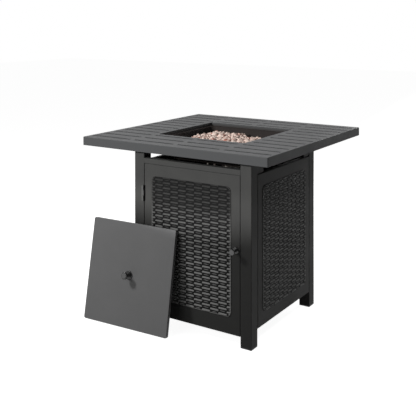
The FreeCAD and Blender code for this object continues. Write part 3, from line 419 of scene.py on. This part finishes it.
def woven_paint():
    """Satin coat on the weave, pale as painted sheen on the strands, with painted shade in the hollows.

    On the door a painted shadow darkens it towards the top, under the table's overhang; the other panels get
    a more even painted shade."""
    mat, tree, shader = powder_coat("weave_paint", *WEAVE_SHEEN_COAT, 0.4, 0.05)
    place = split_xyz(tree, object_coordinates(tree))
    # Painted shadow on the door's weave, growing towards the top under the table's overhang; an almost even
    # painted shade on the other panels.
    door_shade = ramp_range(tree, place["Z"], *WEAVE_SPAN)
    side_shade = ramp_range(tree, place["Z"], *WEAVE_SPAN, *SIDE_SHADE)
    on_door = ramp_range(tree, place["Y"], *DOOR_ZONE, 1.0, 0.0)
    more = product(tree, on_door, math_node(tree, "SUBTRACT", door_shade, side_shade))
    lay_over(tree, shader, math_node(tree, "ADD", side_shade, more), WEAVE_SHADE_TONE)
    # Painted shade in the hollows: near black, and metallic so that they reflect nothing.
    hollow_shade = ramp_range(tree, attribute(tree, "weave_height"), *HOLLOW_HEIGHTS, 1.0, 0.0)
    lay_over(tree, shader, hollow_shade, WEAVE_HOLLOW_SHADE_TONE)
    rough = shader.inputs["Roughness"].links[0].from_socket
    dull = product(tree, hollow_shade, HOLLOW_DULLNESS)
    tree.links.new(math_node(tree, "ADD", rough, dull), shader.inputs["Roughness"])
    tree.links.new(product(tree, hollow_shade, HOLLOW_SHADE_METALLIC), shader.inputs["Metallic"])
    return mat


def bare_metal(name, dark, light, roughness, grain_scale, stretch=(1.0, 1.0, 1.0)):
    """Bare metal with drawn or brushed lines."""
    mat, tree, shader = new_material(name)
    mapping = tree.nodes.new("ShaderNodeMapping")
    mapping.inputs["Scale"].default_value = stretch
    tree.links.new(object_coordinates(tree), mapping.inputs["Vector"])
    lines = noise_value(tree, mapping.outputs["Vector"], grain_scale, 3.0)
    stain = noise_value(tree, object_coordinates(tree), 30.0, 4.0)
    tree.links.new(mix_color(tree, stain, dark, light), shader.inputs["Base Color"])
    rough = ramp_range(tree, lines, 0.3, 0.7, roughness, roughness + 0.15)
    tree.links.new(rough, shader.inputs["Roughness"])
    shader.inputs["Metallic"].default_value = 1.0
    bump(tree, shader, lines, 0.3, 0.00005)
    return mat


def moulded_plastic(name, color, roughness):
    mat, tree, shader = new_material(name)
    coords = object_coordinates(tree)
    grain = noise_value(tree, coords, 1400.0, 2.0)
    scuff = noise_value(tree, coords, 60.0, 5.0, 0.7)
    worn = tuple(c * 1.6 + 0.01 for c in color)
    tone = mix_color(tree, ramp_range(tree, scuff, 0.5, 0.75), color, worn)
    tree.links.new(tone, shader.inputs["Base Color"])
    rough = ramp_range(tree, scuff, 0.3, 0.7, roughness - 0.05, roughness + 0.1)
    tree.links.new(rough, shader.inputs["Roughness"])
    bump(tree, shader, grain, 0.4, 0.0001)
    return mat


def glazed_ceramic(name, color, soot_color):
    mat, tree, shader = new_material(name)
    darkening = noise_value(tree, object_coordinates(tree), 90.0, 5.0)
    tone = mix_color(tree, ramp_range(tree, darkening, 0.5, 0.7), color, soot_color)
    tree.links.new(tone, shader.inputs["Base Color"])
    shader.inputs["Roughness"].default_value = 0.35
    bump(tree, shader, darkening, 0.2, 0.0001)
    return mat


def lava_stone():
    """Tumbled lava: cream and pale pink with rust-brown patches, full of small pits with painted shade in
    them.
    """
    mat, tree, shader = new_material("lava")
    coords = object_coordinates(tree)
    pale = mix_color(tree, noise_value(tree, coords, PATCH_SCALE, 5.0, 0.6), STONE_PINK, STONE_CREAM)
    tree.links.new(pale, shader.inputs["Base Color"])
    rust = noise_value(tree, coords, RUST_SCALE, 6.0, 0.65)
    shifted = math_node(tree, "ADD", rust, attribute(tree, "stone_tone"))
    lay_over(tree, shader, ramp_range(tree, shifted, *RUST_EDGE), STONE_RUST)
    pits = tree.nodes.new("ShaderNodeTexVoronoi")
    pits.inputs["Scale"].default_value = PIT_SCALE
    tree.links.new(coords, pits.inputs["Vector"])
    distance = pits.outputs["Distance"]
    # Painted shade in the pits.
    lay_over(tree, shader, ramp_range(tree, distance, *PIT_TONE_EDGE, PIT_TONE_SHARE, 0.0), STONE_PIT)
    shader.inputs["Roughness"].default_value = 0.9
    shader.inputs["Specular IOR Level"].default_value = 0.2
    rubble = noise_value(tree, coords, RUBBLE_SCALE, 4.0)
    relief = math_node(tree, "ADD", ramp_range(tree, distance, *PIT_WALL), rubble)
    bump(tree, shader, relief, 0.6, 0.0009)
    return mat


FINISHES = {
    "top_paint": grooved_top_paint(),
    "frame_paint": framework_paint(),
    "weave_paint": woven_paint(),
    "lid_paint": powder_coat("lid_paint", *LID_COAT, 0.5, 0.15)[0],
    "bowl_paint": powder_coat("bowl_paint", *BOWL_COAT, 0.6, 0.04)[0],
    "knob_metal": knob_paint(),
    "burner_steel": bare_metal("burner_steel", (0.10, 0.085, 0.07), (0.26, 0.24, 0.22), 0.45, 500.0),
    "zinc": bare_metal("zinc", (0.06, 0.06, 0.06), (0.12, 0.12, 0.115), 0.5, 700.0),
    "brass": bare_metal("brass", (0.6, 0.43, 0.18), (0.76, 0.58, 0.28), 0.28, 600.0),
    "pipe_metal": bare_metal("pipe_metal", (0.07, 0.07, 0.07), (0.12, 0.12, 0.12), 0.45, 400.0),
    "bezel": bare_metal("bezel", (0.45, 0.45, 0.45), (0.6, 0.6, 0.6), 0.3, 900.0, (1.0, 1.0, 0.05)),
    "ceramic": glazed_ceramic("ceramic", (0.05, 0.04, 0.034), (0.03, 0.026, 0.024)),
    "black_plastic": moulded_plastic("black_plastic", (0.02, 0.02, 0.02), 0.5),
    "lava": lava_stone(),
}


def finish_cad_nodes():
    slot_of = {part["node"]: part["material_slot"] for part in frame["record"]["subparts"]}
    for name, obj in nodes.items():
        for slot in obj.material_slots:
            slot.link = "OBJECT"
            slot.material = FINISHES[slot_of[name]]


def new_piece(name, body, slot, mesh_builder):
    """Makes an object from a bmesh, gives it its finish and lets it ride on a body."""
    bm = bmesh.new()
    mesh_builder(bm)
    mesh = bpy.data.meshes.new(name)
    bm.to_mesh(mesh)
    bm.free()
    obj = bpy.data.objects.new(name, mesh)
    bpy.context.scene.collection.objects.link(obj)
    mesh.materials.append(FINISHES[slot])
    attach(obj, body)
    return obj


# Woven inserts

def column_place(u):
    """Number of the column that a point is in, and its place across it from -1 to 1."""
    column = math.floor(u / COLUMN_WIDTH + 0.5)
    return column, 2 * (u / COLUMN_WIDTH - column)


def strand_relief(u, v):
    """Height of the weave over its hollows: strands pass over and under the uprights in turn.

    A strand that passes over leans like a slat: its lower edge stands out, its upper side falls back."""
    row = math.floor(v / STRAND_HEIGHT)
    rise = v / STRAND_HEIGHT - row
    column, along = column_place(u)
    if (row + column) % 2 == 0:
        if rise < SLAT_CREST:
            lean = math.sin(math.pi / 2 * rise / SLAT_CREST)
        else:
            lean = (1.0 - rise) / (1.0 - SLAT_CREST)
        return OVER_HEIGHT * min(lean, 1.0) * (1.0 - STRAND_END_DIP * abs(along) ** STRAND_END_SHARPNESS)
    return UNDER_HEIGHT * math.sin(math.pi * rise) ** UNDER_SHARPNESS * (1.0 - along * along)


def toward_border(u):
    """Moves a point across its column towards the border, where strands start and end abruptly."""
    column, along = column_place(u)
    pulled = 1.0 - (1.0 - abs(along)) ** BORDER_PULL
    return COLUMN_WIDTH * (column + math.copysign(pulled, along) / 2)


def round_corner(u, v, half_width, half_height, radius):
    """Moves a point of the corner squares so that their outer sides become an arc."""
    straight_u = half_width - radius
    straight_v = half_height - radius
    du = abs(u) - straight_u
    dv = abs(v) - straight_v
    if du <= 0 or dv <= 0:
        return u, v
    share = max(du, dv) / math.hypot(du, dv)
    return math.copysign(straight_u + du * share, u), math.copysign(straight_v + dv * share, v)


def of_type(items, kind):
    return [item for item in items if isinstance(item, kind)]


def sort_faces(bm):
    """Puts the faces in the order of their corners, since extruding leaves them in another order each run."""
    bm.verts.index_update()
    bm.faces.sort(key=lambda face: sum(vert.index ** 2 for vert in face.verts))
    bm.faces.index_update()


def weave_builder(low, high, degrees):
    """Woven insert of a window, drawn for the front and turned to its side."""
    half_width = (high.x - low.x) / 2 - WEAVE_MARGIN
    half_height = (high.z - low.z) / 2 - WEAVE_MARGIN
    middle_z = (high.z + low.z) / 2
    crest_y = low.y
    back_y = high.y - WEAVE_SHEET

    def build(bm):
        columns = round(2 * half_width / COLUMN_WIDTH * COLUMN_STEPS)
        rows = round(2 * half_height / STRAND_HEIGHT * STRAND_ROWS)
        bmesh.ops.create_grid(bm, x_segments=columns, y_segments=rows, size=1.0)
        height = bm.verts.layers.float.new("weave_height")
        for vert in bm.verts:
            u = toward_border(vert.co.x * half_width)
            v = vert.co.y * half_height
            out = strand_relief(u, v + half_height)
            vert[height] = out / OVER_HEIGHT
            u, v = round_corner(u, v, half_width, half_height, WINDOW_RADIUS)
            vert.co = Vector((u, crest_y + RELIEF_DEPTH - out, middle_z + v))
        for face in bm.faces:
            face.smooth = True
        rim = [edge for edge in bm.edges if edge.is_boundary]
        # The rim's wall counts as a crest, so it gets none of the painted shade of the hollows.
        for vert in {vert for edge in rim for vert in edge.verts}:
            vert[height] = 1.0
            vert.co.y = crest_y + RELIEF_DEPTH - OVER_HEIGHT * RIM_SHARE
        wall = bmesh.ops.extrude_edge_only(bm, edges=rim)["geom"]
        for vert in of_type(wall, bmesh.types.BMVert):
            vert.co.y = back_y
        lip = bmesh.ops.extrude_edge_only(bm, edges=of_type(wall, bmesh.types.BMEdge))["geom"]
        for vert in of_type(lip, bmesh.types.BMVert):
            vert.co.x *= 1 + WEAVE_FLANGE / half_width
            vert.co.z = middle_z + (vert.co.z - middle_z) * (1 + WEAVE_FLANGE / half_height)
        for edge in rim:
            edge.smooth = False
        sort_faces(bm)
        bmesh.ops.recalc_face_normals(bm, faces=bm.faces)
        turn = Matrix.Rotation(math.radians(degrees), 3, "Z")
        bmesh.ops.rotate(bm, verts=bm.verts, cent=(0, 0, 0), matrix=turn)

    return build


def front_box(node, degrees):
    """Box of a node after it is turned round to the front."""
    corners = [Matrix.Rotation(math.radians(-degrees), 3, "Z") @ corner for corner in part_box(node)]
    low = Vector([min(axis) for axis in zip(*corners)])
    high = Vector([max(axis) for axis in zip(*corners)])
    return low, high


def make_weaves():
    for node, body, degrees in (("door_weave", "door", 0), ("weave_right", "frame", 90),
                                ("weave_rear", "frame", 180), ("weave_left", "frame", 270)):
        low, high = front_box(node, degrees)
        piece = new_piece("woven_" + node, body, "weave_paint", weave_builder(low, high, degrees))
        sheet = piece.modifiers.new("sheet", "SOLIDIFY")
        sheet.thickness = WEAVE_SHEET
        sheet.offset = -1.0
        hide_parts(node)


# Stones

def random_vector(rng, reach):
    return Vector((rng.uniform(-reach, reach), rng.uniform(-reach, reach), rng.uniform(-reach, reach)))


def stone_shape(bm, center, size, rng, fineness):
    """One lumpy stone: a round lump worn flat on a few sides."""
    made = bmesh.ops.create_icosphere(bm, subdivisions=fineness, radius=0.5)["verts"]
    shift = random_vector(rng, LUMP_REACH)
    stretch = Vector([rng.uniform(*limits) for limits in STONE_STRETCH]) * size
    flats = [random_vector(rng, 1).normalized() for _ in range(STONE_FLATS)]
    spin = Matrix.Rotation(rng.uniform(0, STONE_SPIN), 3, "Z")
    turn = spin @ Matrix.Rotation(rng.uniform(-STONE_TILT, STONE_TILT), 3, "X")
    for vert in made:
        p = vert.co.copy()
        for flat in flats:
            over = p.dot(flat) - FLAT_DISTANCE
            if over > 0:
                p -= flat * over * FLAT_WEAR
        lump = sum(noise.noise(vert.co * scale + shift) * height for scale, height in LUMPS)
        p *= 1.0 + lump * LUMP_GAIN
        p = Vector((p.x * stretch.x, p.y * stretch.y, p.z * stretch.z))
        vert.co = center + turn @ p
    return made


def keep_inside(stone, low, high):
    """Shifts a stone that sticks out of the heap's box back into it."""
    shift = Vector()
    for axis in range(3):
        under = low[axis] - min(vert.co[axis] for vert in stone)
        over = high[axis] - max(vert.co[axis] for vert in stone)
        shift[axis] = max(under, 0.0) + min(over, 0.0)
    for vert in stone:
        vert.co += shift


def from_middle(x, y):
    """Distance from the middle, measured so that places at one distance form a square with round corners."""
    return (abs(x) ** HEAP_SQUARENESS + abs(y) ** HEAP_SQUARENESS) ** (1 / HEAP_SQUARENESS)


def heap_surface(x, y, crown):
    """Height of the heap's surface: level, a little lower at its rear right."""
    right = min(max(x / DROP_RUN_RIGHT, 0.0), 1.0)
    rear = min(max(y / DROP_RUN_REAR, 0.0), 1.0)
    return crown - REAR_RIGHT_DROP * right * rear


def scattered_places(rng, reach):
    """Places, depths and sizes of the stones, row by row, then of the chips between them."""
    pitch = STONE_SIZE * STONE_PITCH_SHARE
    count = math.ceil(reach / pitch)
    for layer in range(STONE_LAYERS):
        for row in range(-count, count + 1):
            stones = []
            for place in range(-count, count + 1):
                size = STONE_SIZE * rng.uniform(*STONE_SIZES)
                x = (place + (row + layer) % 2 / 2) * pitch + rng.uniform(-STONE_JITTER, STONE_JITTER) * MM
                y = row * pitch * STONE_ROW_SHARE + rng.uniform(-STONE_JITTER, STONE_JITTER) * MM
                depth = size * 0.5 + layer * STONE_LAYER_DROP + rng.uniform(0, STONE_DEPTH_JITTER) * MM
                stones.append((x, y, depth, size))
            yield stones, STONE_FINENESS
    for _ in range(CHIP_BATCHES):
        chips = []
        for _ in range(CHIPS_PER_BATCH):
            x = rng.uniform(-reach, reach)
            y = rng.uniform(-reach, reach)
            chips.append((x, y, rng.uniform(*CHIP_DEPTHS) * MM, CHIP_SIZE * rng.uniform(*CHIP_SIZES)))
        yield chips, CHIP_FINENESS


def stones_builder(rng):
    """Heap of stones, built in small batches because a growing mesh gets slow."""
    low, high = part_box("lava_stones")
    reach = min(high.x, high.y, -low.x, -low.y)

    def build(bm):
        batch_mesh = bpy.data.meshes.new("batch")
        for stones, fineness in scattered_places(rng, reach):
            batch = bmesh.new()
            tone = batch.verts.layers.float.new("stone_tone")
            for x, y, depth, size in stones:
                z = heap_surface(x, y, high.z) - depth
                shade = rng.uniform(*STONE_TONES)
                if from_middle(x, y) > reach - size * 0.5 or z - low.z < size * FLOOR_SHARE:
                    continue
                stone = stone_shape(batch, Vector((x, y, z)), size, rng, fineness)
                keep_inside(stone, low, high)
                for vert in stone:
                    vert[tone] = shade
            batch.to_mesh(batch_mesh)
            batch.free()
            bm.from_mesh(batch_mesh)
        bpy.data.meshes.remove(batch_mesh)
        for face in bm.faces:
            face.smooth = True

    return build


def make_stones():
    rng = random.Random(STONE_SEED)
    pile = new_piece("loose_stones", "frame", "lava", stones_builder(rng))
    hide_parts("lava_stones")


# Stage

def seen_directly(tree):
    """One for rays from the camera and for mirrored or see-through ones, else zero."""
    path = tree.nodes.new("ShaderNodeLightPath")
    seen = math_node(tree, "MAXIMUM", path.outputs["Is Camera Ray"], path.outputs["Is Glossy Ray"])
    return math_node(tree, "MAXIMUM", seen, path.outputs["Is Transmission Ray"])


def floor_material():
    """Glowing white where it is seen, dull and dark where it lights the table."""
    mat = bpy.data.materials.new("floor")
    mat.use_nodes = True
    tree = mat.node_tree
    tree.nodes.clear()
    out = tree.nodes.new("ShaderNodeOutputMaterial")
    seen = seen_directly(tree)
    dull = tree.nodes.new("ShaderNodeBsdfDiffuse")
    tree.links.new(mix_color(tree, seen, FLOOR_UNSEEN, FLOOR_SEEN), dull.inputs["Color"])
    glow = tree.nodes.new("ShaderNodeEmission")
    glow.inputs["Color"].default_value = (1, 1, 1, 1)
    tree.links.new(product(tree, seen, FLOOR_GLOW), glow.inputs["Strength"])
    both = tree.nodes.new("ShaderNodeAddShader")
    tree.links.new(dull.outputs["BSDF"], both.inputs[0])
    tree.links.new(glow.outputs["Emission"], both.inputs[1])
    tree.links.new(both.outputs["Shader"], out.inputs["Surface"])
    return mat


def make_floor():
    bm = bmesh.new()
    bmesh.ops.create_grid(bm, x_segments=1, y_segments=1, size=FLOOR_SIZE)
    mesh = bpy.data.meshes.new("floor")
    bm.to_mesh(mesh)
    bm.free()
    mesh.materials.append(floor_material())
    floor = bpy.data.objects.new("floor", mesh)
    bpy.context.scene.collection.objects.link(floor)


def make_world():
    world = bpy.data.worlds.new("studio")
    world.use_nodes = True
    tree = world.node_tree
    tree.nodes.clear()
    out = tree.nodes.new("ShaderNodeOutputWorld")
    sky = tree.nodes.new("ShaderNodeBackground")
    sky.inputs["Color"].default_value = (1, 1, 1, 1)
    strength = ramp_range(tree, seen_directly(tree), 0.0, 1.0, AMBIENT, 1.0)
    tree.links.new(strength, sky.inputs["Strength"])
    tree.links.new(sky.outputs["Background"], out.inputs["Surface"])
    bpy.context.scene.world = world


def hang_lamp(name, data, place, target):
    """Puts a lamp in its place and points it at its target."""
    lamp = bpy.data.objects.new(name, data)
    lamp.location = place
    lamp.rotation_euler = (Vector(target) - Vector(place)).to_track_quat("-Z", "Y").to_euler()
    bpy.context.scene.collection.objects.link(lamp)
    return lamp


def softbox(name, place, target, width, height, power):
    data = bpy.data.lights.new(name, "AREA")
    data.shape = "RECTANGLE"
    data.size = width
    data.size_y = height
    data.energy = power
    hang_lamp(name, data, place, target).visible_camera = False


def front_beam(place, target, cone, edge, power):
    """Lamp with a wide cone whose lower edge crosses the front, so that the door is brighter near the top."""
    data = bpy.data.lights.new("front_beam", "SPOT")
    data.energy = power
    data.shadow_soft_size = edge
    data.spot_size = math.radians(cone)
    data.spot_blend = BEAM_BLEND
    hang_lamp("front_beam", data, place, target)


def make_lights():
    softbox("key_softbox", (-1.2, -1.4, 1.75), (0.0, -0.25, 0.3), 0.3, 0.3, 20)
    softbox("front_fill", (-0.6, -2.6, 1.2), (0.0, -0.2, 0.3), 1.2, 0.8, 9)
    softbox("top_softbox", (-0.3, -0.1, 2.5), (0.0, 0.0, 0.6), 1.4, 1.4, 4)
    softbox("right_softbox", (1.4, -0.1, 2.3), (0.23, 0.0, 0.3), 0.5, 0.5, 8)
    softbox("left_fill", (-2.2, 0.4, 1.0), (-0.23, 0.0, 0.35), 1.0, 0.8, 10)
    softbox("back_fill", (0.05, 2.3, 0.9), (0.0, 0.23, 0.35), 0.6, 0.8, 12)
    front_beam((-0.6, -4.2, 1.6), (0.0, -0.23, 1.465), 31, 0.05, 840)


def make_camera():
    data = bpy.data.cameras.new("camera")
    data.sensor_width = SENSOR_WIDTH
    data.lens = FOCAL_PIXELS * SENSOR_WIDTH / IMAGE_PIXELS
    data.shift_y = (HORIZON_PIXEL - IMAGE_PIXELS / 2) / IMAGE_PIXELS
    camera = bpy.data.objects.new("camera", data)
    camera.location = CAMERA_PLACE
    camera.rotation_euler = (math.radians(90), 0, math.radians(CAMERA_TURN))
    bpy.context.scene.collection.objects.link(camera)
    bpy.context.scene.camera = camera


finish_cad_nodes()
make_weaves()
make_stones()
make_floor()
make_world()
make_lights()
make_camera()
bpy.context.scene.view_settings.view_transform = "Standard"
